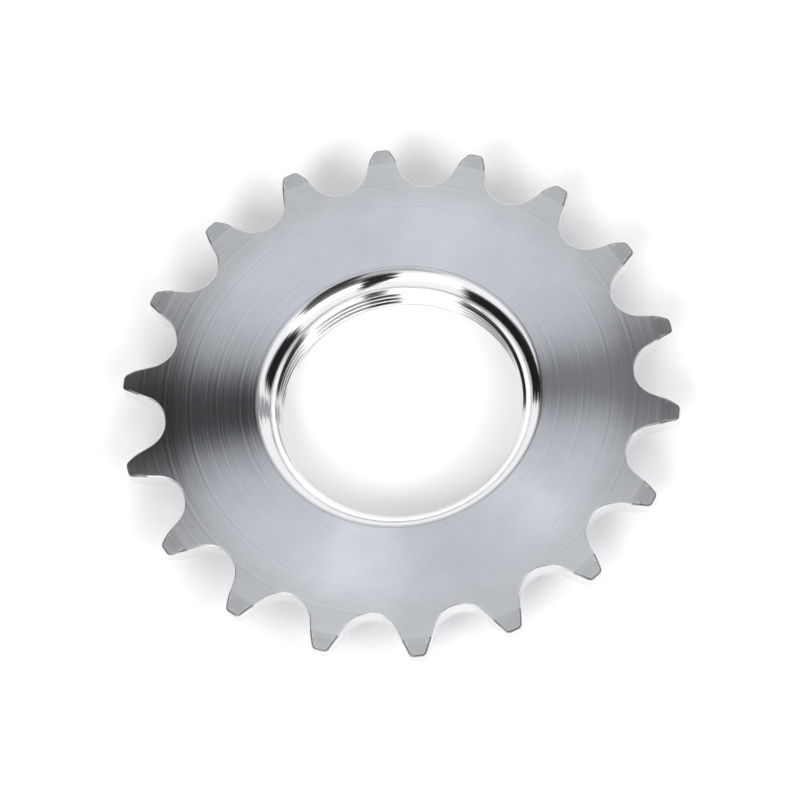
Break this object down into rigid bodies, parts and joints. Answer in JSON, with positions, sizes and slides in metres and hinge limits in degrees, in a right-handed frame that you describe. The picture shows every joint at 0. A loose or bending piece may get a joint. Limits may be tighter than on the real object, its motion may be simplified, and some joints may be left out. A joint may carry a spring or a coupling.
{
  "type": "chain sprocket",
  "caption": "Flat toothed steel ring with a threaded, countersunk bore and a short collar; it screws onto a wheel hub and is turned by a roller chain.",
  "frame": {"origin": "on the axis of the bore, at the end face of the collar, which is the face that it rests on", "axes": "+Z along the bore from the collar to the plain face of the toothed plate; +X through the middle of a tooth gap"},
  "size_m": [0.0764, 0.0772, 0.007],
  "materials": {
    "plated_steel": "turned steel under bright nickel plate, with fine rings left by the lathe"
  },
  "bodies": {
    "root": {"sprocket": "plated_steel"}
  },
  "joints": []
}
